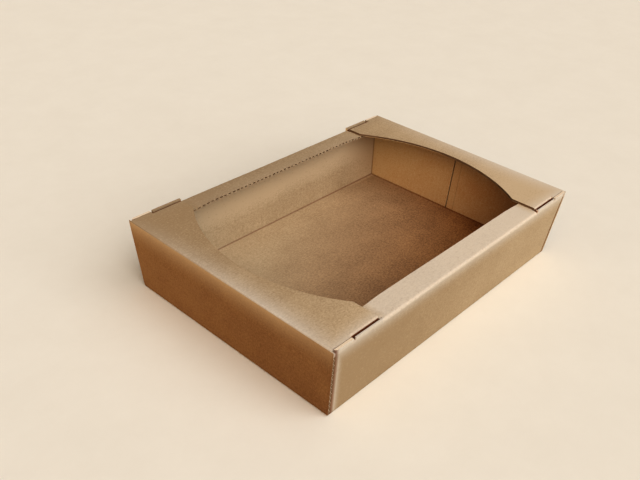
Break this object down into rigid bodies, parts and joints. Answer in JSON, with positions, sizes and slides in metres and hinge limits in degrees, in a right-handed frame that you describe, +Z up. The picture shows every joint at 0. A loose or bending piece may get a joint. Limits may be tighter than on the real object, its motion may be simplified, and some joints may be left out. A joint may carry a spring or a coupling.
{
  "type": "cardboard tray box",
  "caption": "Open corrugated cardboard tray with folded side rims and arched end flaps that hinge open and tuck into slots.",
  "frame": {"origin": "middle of the underside, on the surface that the tray stands on", "axes": "+X along the length, towards the right end flap; +Y across the width; +Z up"},
  "size_m": [0.4274, 0.3, 0.09],
  "materials": {
    "kraft_board": "matte unbleached kraft liner, fluted cut edges"
  },
  "bodies": {
    "tray": {"tray_body": "kraft_board"},
    "left_flap": {"end_flap_left": "kraft_board"},
    "right_flap": {"end_flap_right": "kraft_board"}
  },
  "joints": [
    {"name": "left_flap_fold", "type": "hinge", "parent": "tray", "child": "left_flap", "pos_m": [-0.214, 0, 0.09], "axis": [0, -1, 0], "range_deg": [0, 175]},
    {"name": "right_flap_fold", "type": "hinge", "parent": "tray", "child": "right_flap", "pos_m": [0.214, 0, 0.09], "axis": [0, 1, 0], "range_deg": [0, 175]}
  ]
}
